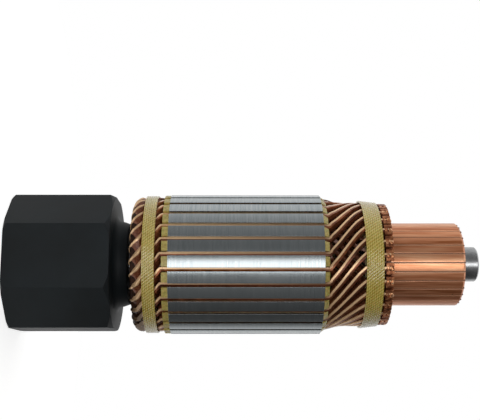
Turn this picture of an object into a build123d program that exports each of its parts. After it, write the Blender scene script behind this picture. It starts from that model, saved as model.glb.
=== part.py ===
from build123d import *
import math
import os

os.makedirs("parts", exist_ok=True)

# Armature of a heavy-duty starter motor, standing on its protective cap.
# The shaft's centre line is Z and the cap's end face lies on Z = 0. All sizes are in millimetres.

# Winding layout
slot_count = 29
first_slot = 0.95  # degrees, where slot 0 lies
coil_span = 7  # slots between the two legs of a coil
upper_lead_span = 4  # slots that an upper leg twists through on its way to the commutator
commutator_pitch = 14  # segments between the two ends of a coil
nose_span = 2.8  # slots from the upper leg to the tip of the nose
knuckle_span = 1.4  # slots that the strip moves on while it folds over at the nose

# Copper strip and its insulation
strip_width = 2.2
strip_height = 4.9
layer_gap = 0.5
liner_wall = 0.25
layer_strip_thickness = 0.3
layer_ring_wall = 0.2

# Laminated core
core_radius = 38.0
core_length = 80.55
slot_mouth = 1.9
slot_lip = 1.3
strip_below_lip = 0.3
liner_reach = 0.3

# Fibre discs at the two ends of the core
drive_disc_thickness = 3.2
commutator_disc_thickness = 2.6
disc_relief = 1.2
drive_disc_step = 0.3
commutator_disc_step = 0.5
commutator_disc_bevel = 1.9

# Overhang of the winding
nose_length = 17.25
nose_bulge_depth = 0.5
lead_length = 29.25
waist_distance = 7.4
waist_drop = 2.7  # how far the leads dip below the upper layer, at their narrowest
shoulder_drop = 2.5  # the same at the band's edge

# Glass tape bands
band_wall = 1.0
band_gap = 0.15
drive_band_setback = 1.5
drive_band_width = 6.5
commutator_band_setback = 1.05
commutator_band_width = 9.2

# Commutator
riser_thickness = 4.1
riser_gap = 1.1
riser_crest = 0.5
seat_depth = 0.2
track_radius = 22.6
track_length = 39.8
track_edge = 1.2
mica_width = 0.5
mica_undercut = 0.5
bar_depth = 5.0
anchor_depth = 3.5
anchor_neck_inset = 6.0
anchor_foot_inset = 3.0
bush_wall = 1.5
moulding_recess = 0.6

# Shaft
journal_radius = 9.5
journal_length = 10.6
commutator_seat_radius = 10.5
core_seat_radius = 13.0
drive_journal_radius = 10.5
spline_radius = 9.0
spline_length = 26.0
spline_count = 10
spline_gap_width = 2.4
spline_depth = 1.2
core_seat_margin = 5.0
shaft_chamfer = 0.8
centre_hole_radius = 1.6
centre_hole_depth = 5.0
centre_cone_radius = 3.2
centre_cone_angle = 60
sleeve_wall = 1.0
sleeve_length = 9.0

# Protective cap
cap_length = 54.9
cap_corner_radius = 39.3
cap_flat_angle = 50.0  # degrees taken up by each of the four wide flats
cap_turn = 172.5  # degrees, where the middle of one wide flat points
cap_foot_radius = 37.9  # circle that the corners are turned down to at the foot
cap_rim_radius = 36.7  # the same at the rim
neck_radius = 22.0
neck_root_radius = 23.2
neck_flare = 4.0
neck_length = 7.4
cap_floor = 10.0
nose_gap = 2.15

fit = 0.05
cut_over = 1.0  # how far a cut reaches past the surface that it opens

# Heights, from the cap's end face upwards
neck_top = cap_length + neck_length
nose_tip = neck_top + nose_gap
drive_disc_bottom = nose_tip + nose_length
core_bottom = drive_disc_bottom + drive_disc_thickness
core_top = core_bottom + core_length
commutator_disc_top = core_top + commutator_disc_thickness
riser_bottom = commutator_disc_top + lead_length
riser_top = riser_bottom + riser_thickness
track_top = riser_top + track_length
shaft_top = track_top + journal_length

# Radii of the two strip layers in the slots
slot_shoulder_radius = core_radius - slot_lip
upper_radius = slot_shoulder_radius - strip_below_lip
lower_radius = upper_radius - strip_height - layer_gap
slot_floor_radius = lower_radius - strip_height - liner_wall - 2 * fit
slot_width = strip_width + 2 * liner_wall + 4 * fit
pitch = 360 / slot_count

# Radii of the strip ends in the risers
seat_radius = track_radius - seat_depth
end_radius = seat_radius + 2 * strip_height + layer_gap
riser_radius = end_radius + riser_crest

# Share of a lead's length beyond the disc, and share of its twist reached there
lead_shape = (
    (0.01, 0.0),
    (0.07, 0.03),
    (0.16, 0.15),
    (0.36, 0.43),
    (0.53, 0.635),
    (0.67, 0.77),
    (0.81, 0.885),
    (0.95, 0.985),
)
upper_nose_shape = ((0.05, 0.0), (0.12, 0.09), (0.23, 0.25), (0.55, 0.57))
lower_nose_shape = ((0.05, 0.0), (0.13, 0.07), (0.25, 0.2), (0.55, 0.53))
nose_shoulder_twist = 0.97  # share of the twist reached at the band's edge towards the nose
knuckle_leans = (0, 30, 60, 90, 120, 150, 180)

knuckle_centre_radius = upper_radius - strip_height - layer_gap / 2
knuckle_radius = (strip_height + layer_gap) / 2 + nose_bulge_depth
knuckle_height = nose_tip + knuckle_radius + strip_height / 2
waist_height = commutator_disc_top + waist_distance
waist_radius = upper_radius - waist_drop
shoulder_radius = upper_radius - shoulder_drop
commutator_band_top = riser_bottom - commutator_band_setback
commutator_band_bottom = commutator_band_top - commutator_band_width
drive_band_bottom = knuckle_height + drive_band_setback
drive_band_top = drive_band_bottom + drive_band_width


def lead_outer_radius(height):
    """Outer radius of the upper layer on its way from the core to the risers."""
    corners = (
        (core_top + liner_reach, upper_radius),
        (waist_height, waist_radius),
        (commutator_band_bottom, shoulder_radius),
        (riser_bottom, end_radius),
    )
    for (low, low_radius), (high, high_radius) in zip(corners, corners[1:]):
        if height <= high:
            share = (height - low) / (high - low)
            return low_radius + share * (high_radius - low_radius)
    return end_radius


def lead_points(slot_angle, twist, drop):
    """Strip centres of one lead, from the disc to its end in the riser."""
    points = []
    for length_share, twist_share in lead_shape:
        height = commutator_disc_top + length_share * lead_length
        radius = lead_outer_radius(height) - drop - strip_height / 2
        points.append((radius, slot_angle + twist_share * twist, height))
    end = end_radius - drop - strip_height / 2
    points.append((end, slot_angle + twist, riser_bottom))
    points.append((end, slot_angle + twist, riser_top))
    return points


def nose_points(shape, slot_angle, twist, radius):
    """Strip centres of one leg between the drive end disc and the nose."""
    points = []
    for length_share, twist_share in shape:
        height = drive_disc_bottom + length_share * (knuckle_height - drive_disc_bottom)
        points.append((radius, slot_angle + twist_share * twist, height))
    shoulder_height = drive_band_bottom - band_gap - strip_width / 2
    points.append((radius, slot_angle + nose_shoulder_twist * twist, shoulder_height))
    return points


def knuckle_points(start_angle, turn):
    """Strip centres of the fold over the nose, with the lean of the strip at each."""
    points = []
    for lean in knuckle_leans:
        radius = knuckle_centre_radius + knuckle_radius * math.cos(math.radians(lean))
        height = knuckle_height - knuckle_radius * math.sin(math.radians(lean))
        points.append((radius, start_angle + turn * lean / 180, height))
    return points


def strip_tilt(before, after):
    """Angle between the strip and the shaft's direction, from the points beside it."""
    across = (before[0] + after[0]) / 2 * math.radians(after[1] - before[1])
    along = math.hypot(after[0] - before[0], after[2] - before[2])
    return math.degrees(math.atan2(across, along))


def strip_plane(point, tilt, lean):
    """Plane across the strip at a point: X along its tall side, Z along its path."""
    radius, angle, height = point
    radial = Vector(math.cos(math.radians(angle)), math.sin(math.radians(angle)), 0)
    around = Vector(-radial.Y, radial.X, 0)
    up = Vector(0, 0, 1)
    tall = radial * math.cos(math.radians(lean)) - up * math.sin(math.radians(lean))
    ahead = up * -math.cos(math.radians(lean)) - radial * math.sin(math.radians(lean))
    path = ahead * math.cos(math.radians(tilt)) + around * math.sin(math.radians(tilt))
    return Plane(origin=radial * radius + up * height, x_dir=tall, z_dir=path)


def coil_planes():
    """Planes across one coil, from the end of its upper leg over the nose to the other end."""
    upper_centre = upper_radius - strip_height / 2
    lower_centre = lower_radius - strip_height / 2
    layer_drop = strip_height + layer_gap
    lower_angle = coil_span * pitch
    lower_lead_span = commutator_pitch - coil_span - upper_lead_span
    knuckle_start = (nose_span - knuckle_span / 2) * pitch
    knuckle_turn = knuckle_span * pitch
    lower_nose_twist = knuckle_start + knuckle_turn - lower_angle

    upper_lead = lead_points(0, -upper_lead_span * pitch, 0)
    upper_lead.reverse()
    upper_leg = [(upper_centre, 0, core_top + liner_reach), (upper_centre, 0, drive_disc_bottom)]
    upper_nose = nose_points(upper_nose_shape, 0, knuckle_start, upper_centre)
    knuckle = knuckle_points(knuckle_start, knuckle_turn)
    lower_nose = nose_points(lower_nose_shape, lower_angle, lower_nose_twist, lower_centre)
    lower_nose.reverse()
    lower_leg = [
        (lower_centre, lower_angle, drive_disc_bottom),
        (lower_centre, lower_angle, core_top + liner_reach),
    ]
    lower_lead = lead_points(lower_angle, lower_lead_span * pitch, layer_drop)

    points = upper_lead + upper_leg + upper_nose + knuckle + lower_nose + lower_leg + lower_lead
    straight = upper_lead[:2] + upper_leg + lower_leg + lower_lead[-2:]
    first_knuckle = len(upper_lead) + len(upper_leg) + len(upper_nose)
    planes = []
    for index, point in enumerate(points):
        before = points[max(index - 1, 0)]
        after = points[min(index + 1, len(points) - 1)]
        tilt = 0 if point in straight else strip_tilt(before, after)
        knuckle_index = index - first_knuckle
        if knuckle_index < 0:
            lean = 0
        elif knuckle_index < len(knuckle_leans):
            lean = knuckle_leans[knuckle_index]
        else:
            lean = 180
        planes.append(strip_plane(point, tilt, lean))
    return planes


def ring(inner, outer, bottom, top):
    """Straight tube about the shaft's centre line, added to the part being built."""
    with BuildSketch(Plane.XY.offset(bottom)) as section:
        Circle(outer)
        Circle(inner, mode=Mode.SUBTRACT)
    extrude(section.sketch, amount=top - bottom)


def slot_places(turn=0.0):
    """Places of all slots about the shaft's centre line."""
    return PolarLocations(0, slot_count, start_angle=first_slot + turn)


def radial_bar(inner, outer, width, mode=Mode.ADD):
    """Rectangle that lies along a radius, in the sketch being built."""
    with Locations(((inner + outer) / 2, 0)):
        Rectangle(outer - inner, width, mode=mode)


# Steel shaft: spline and journal inside the cap, core seat, commutator seat, journal
spline_bottom = cap_floor + 2 * fit
spline_top = spline_bottom + spline_length
core_seat_bottom = nose_tip
core_seat_top = commutator_disc_top + core_seat_margin
with BuildPart() as shaft:
    with BuildSketch(Plane.XZ):
        Polygon(
            (0, spline_bottom),
            (spline_radius, spline_bottom),
            (spline_radius, spline_top),
            (drive_journal_radius, spline_top),
            (drive_journal_radius, core_seat_bottom),
            (core_seat_radius, core_seat_bottom),
            (core_seat_radius, core_seat_top),
            (commutator_seat_radius, core_seat_top),
            (commutator_seat_radius, track_top),
            (journal_radius, track_top),
            (journal_radius, shaft_top),
            (0, shaft_top),
            align=None,
        )
    revolve(axis=Axis.Z)
    chamfer(shaft.edges().group_by(Axis.Z)[0], shaft_chamfer)
    chamfer(shaft.edges().group_by(Axis.Z)[-1], shaft_chamfer)
    with BuildSketch(Plane.XY.offset(spline_bottom)):
        with PolarLocations(0, spline_count):
            radial_bar(spline_radius - spline_depth, spline_radius + cut_over, spline_gap_width)
    extrude(amount=spline_length - shaft_chamfer, mode=Mode.SUBTRACT)
    with Locations(Location((0, 0, shaft_top)), Location((0, 0, spline_bottom), (180, 0, 0))):
        CounterSinkHole(centre_hole_radius, centre_cone_radius, centre_hole_depth, centre_cone_angle)

# Laminated core with one half-closed slot for each coil
with BuildPart() as lamination_stack:
    ring(core_seat_radius + fit, core_radius, core_bottom, core_top)
    with BuildSketch(Plane.XY.offset(core_bottom)):
        with slot_places():
            radial_bar(slot_floor_radius, slot_shoulder_radius, slot_width)
            radial_bar(slot_shoulder_radius - cut_over, core_radius + cut_over, slot_mouth)
    extrude(amount=core_length, mode=Mode.SUBTRACT)


def fibre_disc(bottom, top, radius):
    """Disc of pressed fibre with open slots, added to the part being built."""
    ring(core_seat_radius + fit, radius, bottom, top)
    with BuildSketch(Plane.XY.offset(bottom)) as slots:
        with slot_places():
            radial_bar(slot_floor_radius - disc_relief, radius + cut_over, slot_width)
    extrude(slots.sketch, amount=top - bottom, mode=Mode.SUBTRACT)


with BuildPart() as drive_end_disc:
    fibre_disc(drive_disc_bottom, core_bottom, core_radius - drive_disc_step)

with BuildPart() as commutator_end_disc:
    fibre_disc(core_top, commutator_disc_top, core_radius - commutator_disc_step)
    with BuildSketch(Plane.XZ):
        outer = core_radius - commutator_disc_step
        Polygon(
            (outer, core_top),
            (outer + cut_over, core_top),
            (outer + cut_over, commutator_disc_top),
            (outer - commutator_disc_bevel, commutator_disc_top),
            align=None,
        )
    revolve(axis=Axis.Z, mode=Mode.SUBTRACT)

# Folded paper liner in each slot, and the strip between the two layers of copper
liner_bottom = core_bottom - liner_reach
liner_length = core_length + 2 * liner_reach
liner_outside = slot_width / 2 - fit
with BuildPart() as slot_liners:
    with BuildSketch(Plane.XY.offset(liner_bottom)):
        with slot_places():
            radial_bar(slot_floor_radius + fit, slot_shoulder_radius - fit, 2 * liner_outside)
        with slot_places():
            radial_bar(
                slot_floor_radius + fit + liner_wall,
                slot_shoulder_radius + cut_over,
                2 * (liner_outside - liner_wall),
                Mode.SUBTRACT,
            )
    extrude(amount=liner_length)

layer_strip_clearance = (layer_gap - layer_strip_thickness) / 2
with BuildPart() as layer_strips:
    with BuildSketch(Plane.XY.offset(liner_bottom)):
        with slot_places():
            radial_bar(
                lower_radius + layer_strip_clearance,
                lower_radius + layer_gap - layer_strip_clearance,
                strip_width,
            )
    extrude(amount=liner_length)

# Coil of copper strip: one hairpin, folded over at the drive end
with BuildPart() as coil:
    for strip_section in coil_planes():
        with BuildSketch(strip_section):
            Rectangle(strip_height, strip_width)
    loft(ruled=True)


def cone_ring(bottom, top, bottom_inner, top_inner, wall):
    """Tapered tube about the shaft's centre line, added to the part being built."""
    with BuildSketch(Plane.XZ) as section:
        Polygon(
            (bottom_inner, bottom),
            (bottom_inner + wall, bottom),
            (top_inner + wall, top),
            (top_inner, top),
            align=None,
        )
    revolve(section.sketch, axis=Axis.Z)


# Insulating rings between the two copper layers, under the bands
layer_ring_drop = strip_height + (layer_gap + layer_ring_wall) / 2
with BuildPart() as drive_end_layer_ring:
    inner = upper_radius - layer_ring_drop
    cone_ring(drive_band_bottom, drive_band_top, inner, inner, layer_ring_wall)

commutator_band_inner = (
    lead_outer_radius(commutator_band_bottom),
    lead_outer_radius(commutator_band_top),
)
with BuildPart() as commutator_end_layer_ring:
    cone_ring(
        commutator_band_bottom,
        commutator_band_top,
        commutator_band_inner[0] - layer_ring_drop,
        commutator_band_inner[1] - layer_ring_drop,
        layer_ring_wall,
    )

# Glass tape bands, wound on the overhangs and set in resin
with BuildPart() as drive_end_band:
    inner = upper_radius + band_gap
    cone_ring(drive_band_bottom, drive_band_top, inner, inner, band_wall)

with BuildPart() as commutator_end_band:
    cone_ring(
        commutator_band_bottom,
        commutator_band_top,
        commutator_band_inner[0] + band_gap,
        commutator_band_inner[1] + band_gap,
        band_wall,
    )

# Insulating sleeves on the shaft, against the two ends of the core
with BuildPart() as drive_end_sleeve:
    inner = core_seat_radius + fit
    ring(inner, inner + sleeve_wall, drive_disc_bottom - sleeve_length, drive_disc_bottom)

with BuildPart() as commutator_end_sleeve:
    inner = core_seat_radius + fit
    ring(inner, inner + sleeve_wall, commutator_disc_top, core_seat_top)

# Commutator: copper segments with slotted risers, held by their anchors in a moulded hub
bar_inner = track_radius - bar_depth
anchor_radius = bar_inner - anchor_depth
bush_radius = commutator_seat_radius + fit + bush_wall


def anchor_points(inner, outer, gap):
    """Dovetail outline of the segments' anchors, drawn inwards by a gap."""
    return (
        (outer, riser_bottom + anchor_neck_inset + gap),
        (inner, riser_bottom + anchor_foot_inset + gap),
        (inner, track_top - anchor_foot_inset - gap),
        (outer, track_top - anchor_neck_inset - gap),
    )


def segment_ring(outer):
    """Ring with the segments' section, added to the part being built."""
    with BuildSketch(Plane.XZ) as section:
        Polygon(
            (bar_inner, riser_bottom),
            (outer, riser_bottom),
            (outer, track_top),
            (bar_inner, track_top),
            *reversed(anchor_points(anchor_radius, bar_inner, 0)),
            align=None,
        )
    revolve(section.sketch, axis=Axis.Z)


with BuildPart() as commutator_segments:
    segment_ring(track_radius)
    chamfer(
        commutator_segments.faces().sort_by(Axis.Z)[-1].outer_wire().edges(),
        track_edge,
    )
    ring(seat_radius - fit, riser_radius, riser_bottom, riser_top)
    with BuildSketch(Plane.XY.offset(riser_bottom)):
        with slot_places(pitch / 2):
            radial_bar(track_radius, riser_radius + cut_over, riser_gap)
    extrude(amount=riser_thickness, mode=Mode.SUBTRACT)
    with BuildSketch(Plane.XY.offset(riser_bottom)):
        with slot_places():
            radial_bar(seat_radius - fit, riser_radius + cut_over, strip_width + 2 * fit)
    extrude(amount=riser_thickness, mode=Mode.SUBTRACT)
    with BuildSketch(Plane.XY.offset(riser_bottom)):
        with slot_places(pitch / 2):
            radial_bar(anchor_radius - cut_over, track_radius + cut_over, mica_width)
    extrude(amount=track_top - riser_bottom, mode=Mode.SUBTRACT)

with BuildPart() as mica_strips:
    segment_ring(track_radius - mica_undercut)
    with BuildSketch(Plane.XY.offset(riser_bottom)):
        with slot_places(pitch / 2):
            radial_bar(anchor_radius - cut_over, track_radius, mica_width)
    extrude(amount=track_top - riser_bottom, mode=Mode.INTERSECT)

with BuildPart() as commutator_bush:
    ring(commutator_seat_radius + fit, bush_radius, riser_bottom, track_top - moulding_recess)

with BuildPart() as commutator_moulding:
    with BuildSketch(Plane.XZ):
        Polygon(
            (bush_radius + fit, riser_bottom),
            (bar_inner - fit, riser_bottom),
            *anchor_points(anchor_radius - fit, bar_inner - fit, -fit),
            (bar_inner - fit, track_top - moulding_recess),
            (bush_radius + fit, track_top - moulding_recess),
            align=None,
        )
    revolve(axis=Axis.Z)

# Protective cap: a moulded block with four wide and four narrow flats, its corners turned
# down at both ends, and a blind bore
with BuildPart() as protective_cap:
    with BuildSketch():
        corners = []
        for quarter in range(4):
            middle = cap_turn + 90 * quarter
            for side in (-1, 1):
                angle = math.radians(middle + side * cap_flat_angle / 2)
                corners.append((cap_corner_radius * math.cos(angle), cap_corner_radius * math.sin(angle)))
        Polygon(*corners, align=None)
    extrude(amount=cap_length)
    with BuildSketch(Plane.XZ):
        past = cap_corner_radius + cut_over
        Polygon(
            (0, 0),
            (cap_foot_radius, 0),
            (past, past - cap_foot_radius),
            (past, cap_length - past + cap_rim_radius),
            (cap_rim_radius, cap_length),
            (0, cap_length),
            align=None,
        )
    revolve(axis=Axis.Z, mode=Mode.INTERSECT)
    with BuildSketch(Plane.XZ):
        with BuildLine():
            flare = neck_root_radius + neck_flare
            Line((0, cap_length), (flare, cap_length))
            RadiusArc((flare, cap_length), (neck_root_radius, cap_length + neck_flare), neck_flare)
            Line((neck_root_radius, cap_length + neck_flare), (neck_radius, neck_top))
            Line((neck_radius, neck_top), (0, neck_top))
            Line((0, neck_top), (0, cap_length))
        make_face()
    revolve(axis=Axis.Z)
    with BuildSketch(Plane.XY.offset(cap_floor)):
        Circle(spline_radius + fit)
    extrude(amount=spline_top - cap_floor, mode=Mode.SUBTRACT)
    with BuildSketch(Plane.XY.offset(spline_top)):
        Circle(drive_journal_radius + fit)
    extrude(amount=neck_top - spline_top, mode=Mode.SUBTRACT)


def save(solid, label):
    """Label a finished piece and write its file."""
    solid.label = label
    export_step(solid, f"parts/{label}.step")


save(shaft.part, "shaft")
save(lamination_stack.part, "lamination_stack")
save(drive_end_disc.part, "drive_end_disc")
save(commutator_end_disc.part, "commutator_end_disc")
save(slot_liners.part, "slot_liners")
save(layer_strips.part, "layer_strips")
save(drive_end_layer_ring.part, "drive_end_layer_ring")
save(commutator_end_layer_ring.part, "commutator_end_layer_ring")
save(drive_end_band.part, "drive_end_band")
save(commutator_end_band.part, "commutator_end_band")
save(drive_end_sleeve.part, "drive_end_sleeve")
save(commutator_end_sleeve.part, "commutator_end_sleeve")
save(commutator_segments.part, "commutator_segments")
save(mica_strips.part, "mica_strips")
save(commutator_bush.part, "commutator_bush")
save(commutator_moulding.part, "commutator_moulding")
save(protective_cap.part, "protective_cap")
for slot in range(slot_count):
    save(coil.part.rotate(Axis.Z, first_slot + slot * pitch), f"coil_{slot + 1:02d}")
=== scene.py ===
import math
import random

import bpy
from mathutils import Matrix, Vector


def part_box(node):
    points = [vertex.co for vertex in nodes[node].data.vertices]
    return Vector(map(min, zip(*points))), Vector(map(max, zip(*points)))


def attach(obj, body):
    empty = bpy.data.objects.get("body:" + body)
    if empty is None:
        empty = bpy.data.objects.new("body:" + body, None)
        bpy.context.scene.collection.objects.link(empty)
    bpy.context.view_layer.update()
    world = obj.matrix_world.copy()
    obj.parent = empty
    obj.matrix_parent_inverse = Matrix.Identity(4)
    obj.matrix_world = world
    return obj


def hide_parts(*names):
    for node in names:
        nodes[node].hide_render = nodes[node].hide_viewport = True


bl_info = {
    "name": "Starter motor armature",
    "version": (1, 0, 0),
    "blender": (4, 5, 0),
    "location": "View3D > Sidebar > Armature",
    "description": "Dresses the packed armature: copper strip winding, tape bands, commutator, core and cap",
    "category": "Object",
}

MM = 0.001
# Points closer than this are one point, and faces that meet at less than this angle are one surface
MERGE = 1e-6
FLAT_ANGLE = math.radians(0.3)
# Distance between two sections of the strip where it bends
STRIP_STEP = 1.3 * MM
PIXEL_COLUMNS = 480
PIXEL_ROWS = 420

# Brightness of the studio around the shaft, by bearing in degrees from the camera's side
STUDIO_LEVELS = (
    (-180, 0.92), (-104, 0.92), (-98, 0.78), (-80, 0.48), (-57, 0.3), (-30, 0.18), (26, 0.22),
    (47, 0.145), (80, 0.076), (106, 0.085), (116, 0.18), (130, 0.76), (180, 0.92),
)
# Bearing, in degrees from the camera's side, beyond which metal mirrors the white backdrop
BACKDROP_BEARING = 160

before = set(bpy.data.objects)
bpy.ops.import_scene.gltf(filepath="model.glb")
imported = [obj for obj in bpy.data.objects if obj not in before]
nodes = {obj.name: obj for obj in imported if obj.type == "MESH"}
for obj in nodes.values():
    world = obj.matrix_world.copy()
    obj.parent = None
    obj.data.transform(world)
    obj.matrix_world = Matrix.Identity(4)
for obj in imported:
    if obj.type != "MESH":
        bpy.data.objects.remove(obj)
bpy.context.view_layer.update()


def node_bottom(node):
    """Height of a node's lowest point."""
    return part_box(node)[0].z


def node_top(node):
    """Height of a node's highest point."""
    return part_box(node)[1].z


def from_axis(place):
    """Distance of a place from the shaft's centre line."""
    return math.hypot(place.x, place.y)


SLOT_COUNT = sum(1 for node in nodes if node.startswith("coil_"))
PITCH = 360 / SLOT_COUNT
NOSE_TIP = node_bottom("coil_01")
DRIVE_DISC_BOTTOM = node_bottom("drive_end_disc")
CORE_TOP = node_top("lamination_stack")
COMMUTATOR_DISC_TOP = node_top("commutator_end_disc")
RISER_BOTTOM = node_bottom("commutator_segments")
RISER_TOP = node_top("coil_01")
TRACK_TOP = node_top("commutator_segments")
CAP_TOP = node_top("protective_cap")

# Share of a leg's length beyond the disc, share of its twist reached there, and the roll of the
# strip in the upper and in the lower layer
LEAD_SHAPE = (
    (0.005, 0.0, 0, 0),
    (0.03, 0.03, 0, 4),
    (0.07, 0.08, 0, 12),
    (0.17, 0.19, 0, 32),
    (0.36, 0.43, 2, 44),
    (0.53, 0.64, 2, 36),
    (0.67, 0.775, 0, 16),
    (0.81, 0.885, 0, 0),
    (0.95, 0.985, 0, 0),
)
UPPER_NOSE_SHAPE = ((0.05, 0.0, 0), (0.12, 0.09, 8), (0.23, 0.25, 25), (0.55, 0.57, 45))
LOWER_NOSE_SHAPE = ((0.05, 0.0, 0), (0.13, 0.07, 6), (0.25, 0.2, 20), (0.55, 0.53, 36))
NOSE_SHOULDER_TWIST = 0.87
# Lean of the strip as it folds over the nose, and its roll
KNUCKLE_BENDS = ((0, 52), (30, 54), (60, 54), (90, 50), (120, 46), (150, 42), (180, 38))


def length(name, description, millimetres):
    """Length property with its default in millimetres."""
    return bpy.props.FloatProperty(
        name=name, description=description, default=millimetres * MM, unit="LENGTH", precision=5
    )


def number(name, description, value):
    """Plain number property."""
    return bpy.props.FloatProperty(name=name, description=description, default=value)


def whole_number(name, description, value):
    """Property that counts slots or segments."""
    return bpy.props.IntProperty(name=name, description=description, default=value)


def turn_angle(name, description, degrees):
    """Angle property with its default in degrees."""
    return bpy.props.FloatProperty(
        name=name, description=description, default=math.radians(degrees), subtype="ANGLE"
    )


def colour(name, description, hex_code):
    """Colour property with its default as an sRGB hex value."""
    return bpy.props.FloatVectorProperty(
        name=name, description=description, default=linear(hex_code), subtype="COLOR", size=4, min=0, max=1
    )


def linear(hex_code):
    """Linear RGBA of an sRGB hex value such as #B87333."""
    channels = [int(hex_code[start : start + 2], 16) / 255 for start in (1, 3, 5)]
    low = [channel / 12.92 for channel in channels]
    high = [((channel + 0.055) / 1.055) ** 2.4 for channel in channels]
    return tuple(a if c <= 0.04045 else b for a, b, c in zip(low, high, channels)) + (1.0,)


class WindingSettings(bpy.types.PropertyGroup):
    strip_width: length("Strip width", "Thin side of the copper strip", 2.2)
    strip_height: length("Strip height", "Tall side of the copper strip", 4.9)
    strip_edge: length("Strip edge", "Rounding of the strip's rolled edges", 0.9)
    layer_gap: length("Layer gap", "Room between the two layers of strip", 0.5)
    upper_radius: length("Upper radius", "Outside of the upper layer in the slots", 36.4)
    waist_distance: length("Waist distance", "From the disc to the leads' narrowest place", 7.4)
    waist_drop: length("Waist drop", "How far the leads dip below the slots' upper layer there", 2.7)
    shoulder_drop: length("Shoulder drop", "The same at the band's edge", 2.5)
    end_radius: length("End radius", "Outside of the strip ends in the risers", 32.7)
    nose_bulge_depth: length("Nose bulge", "How far the nose stands proud of the legs", 0.5)
    first_slot: turn_angle("First slot", "Direction of slot 0", 0.95)
    coil_span: whole_number("Coil span", "Slots between two legs", 7)
    upper_lead_span: whole_number("Upper lead span", "Slots that an upper lead twists through", 4)
    commutator_pitch: whole_number("Commutator pitch", "Segments between the two ends of a coil", 14)
    nose_span: number("Nose span", "Slots from the upper leg to the nose's tip", 2.8)
    knuckle_span: number("Knuckle span", "Slots that the strip moves on in the fold", 1.4)
    # Pale colour of the painted highlight along each strip's corner
    copper: colour("Copper", "Rubbed copper strip", "#FFD4A4")
    copper_shade: colour("Copper shade", "Tarnished and heated copper", "#723C22")


class CoreSettings(bpy.types.PropertyGroup):
    sheet: length("Sheet", "Thickness of one lamination as drawn", 1.0)
    edge: length("Edge", "Rounding of the turned tooth edges", 0.12)
    steel: colour("Steel", "Turned silicon steel", "#A8AEB0")
    fibre: colour("Fibre", "Pressed fibre discs", "#D8C474")


class BandSettings(bpy.types.PropertyGroup):
    thread: length("Thread", "Spacing of the tape's threads, as drawn", 1.15)
    thread_height: length("Thread height", "How far a thread stands proud", 0.09)
    edge: length("Edge", "Rounding of the tape's edges", 0.25)
    resin_depth: length("Resin depth", "How far the resin stands back from the noses' tips", 0.9)
    glass: colour("Glass", "Glass threads in resin", "#F2DE84")
    resin: colour("Resin", "Resin between the threads", "#A08418")


class CommutatorSettings(bpy.types.PropertyGroup):
    edge: length("Edge", "Rounding of the segments' edges", 0.22)
    turning: length("Turning", "Spacing of the lathe's marks as drawn", 0.5)
    weld_height: length("Weld height", "Half height of a weld on a riser", 1.3)
    weld_length: length("Weld length", "Length of a weld around the commutator", 5.0)
    copper: colour("Copper", "Turned hard copper", "#E0946A")


class CapSettings(bpy.types.PropertyGroup):
    edge: length("Edge", "Rounding of the moulded edges", 1.0)
    plastic: colour("Plastic", "Black polyethylene", "#1F2528")


class StageSettings(bpy.types.PropertyGroup):
    pixel: length("Pixel", "Size of one photo pixel at the shaft's axis", 0.5519)
    distance: length("Distance", "From the camera to the shaft's axis", 485.0)
    axis_row: number("Axis row", "Photo row of the axis", 264.3)
    eye_column: number("Eye column", "Photo column straight in front of the camera", 232.5)
    foot_column: number("Foot column", "Photo column of the surface that the cap stands on", 18.5)
    box_width: length("Softbox width", "Width of the softbox around the shaft", 185.0)
    box_length: length("Softbox length", "Length of the softbox along the shaft", 1200.0)
    box_distance: length("Softbox distance", "From the softbox to the shaft's axis", 600.0)
    box_turn: turn_angle("Softbox turn", "Bearing of the softbox from the camera", 2.0)
    box_radiance: number("Softbox brightness", "How bright the softbox's face is", 2.7)
    floor_radius: length("Floor radius", "Radius of the round floor", 200.0)
    floor: colour("Floor", "Pale painted floor", "#E8E8E6")


class Finish:
    """The node tree of a material or world, with one function that adds a node, sets it and links it."""

    def __init__(self, name, kind="materials"):
        self.material = getattr(bpy.data, kind).new(name)
        self.material.use_nodes = True
        self.tree = self.material.node_tree
        self.tree.nodes.clear()

    def add(self, kind, *values, **settings):
        """Add a node and return its outputs.

        Values go to the node's open sockets in order, and settings by name to its attributes and sockets.
        Another node's output is linked, and a hex colour is turned to linear.
        """
        node = self.tree.nodes.new("ShaderNode" + kind)
        named = []
        for name, value in settings.items():
            if name == "stops":
                ramp = node.color_ramp.elements
                ramp.remove(ramp[1])
                for index, (position, shade) in enumerate(value):
                    stop = ramp.new(position) if index else ramp[0]
                    stop.position = position
                    stop.color = linear(shade) if isinstance(shade, str) else shade
            elif hasattr(node, name):
                setattr(node, name, value)
            else:
                named.append((node.inputs[name.replace("_", " ")], value))
        open_sockets = [socket for socket in node.inputs if socket.enabled]
        for socket, value in [*zip(open_sockets, values), *named]:
            if isinstance(value, bpy.types.NodeSocket):
                self.tree.links.new(value, socket)
            else:
                socket.default_value = linear(value) if isinstance(value, str) else value
        return node.outputs


def deselect_all():
    """Leave edit mode and select nothing."""
    if bpy.context.object and bpy.context.object.mode != "OBJECT":
        bpy.ops.object.mode_set(mode="OBJECT")
    bpy.ops.object.select_all(action="DESELECT")


def make_active(piece):
    """Select one object alone and make it active."""
    deselect_all()
    piece.select_set(True)
    bpy.context.view_layer.objects.active = piece


def edit_all():
    """Go into edit mode with the whole mesh of the active piece selected."""
    bpy.ops.object.mode_set(mode="EDIT")
    bpy.ops.mesh.select_all(action="SELECT")


def apply_modifier(piece, kind, **settings):
    """Add a modifier with its settings and apply it."""
    make_active(piece)
    modifier = piece.modifiers.new(kind.title(), kind)
    for key, value in settings.items():
        setattr(modifier, key, value)
    bpy.ops.object.modifier_apply(modifier=modifier.name)


def round_edges(piece, width, segments, degrees):
    """Round the edges that are sharper than an angle."""
    limit = {"limit_method": "ANGLE", "angle_limit": math.radians(degrees)}
    apply_modifier(piece, "BEVEL", width=width, segments=segments, **limit)


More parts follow.
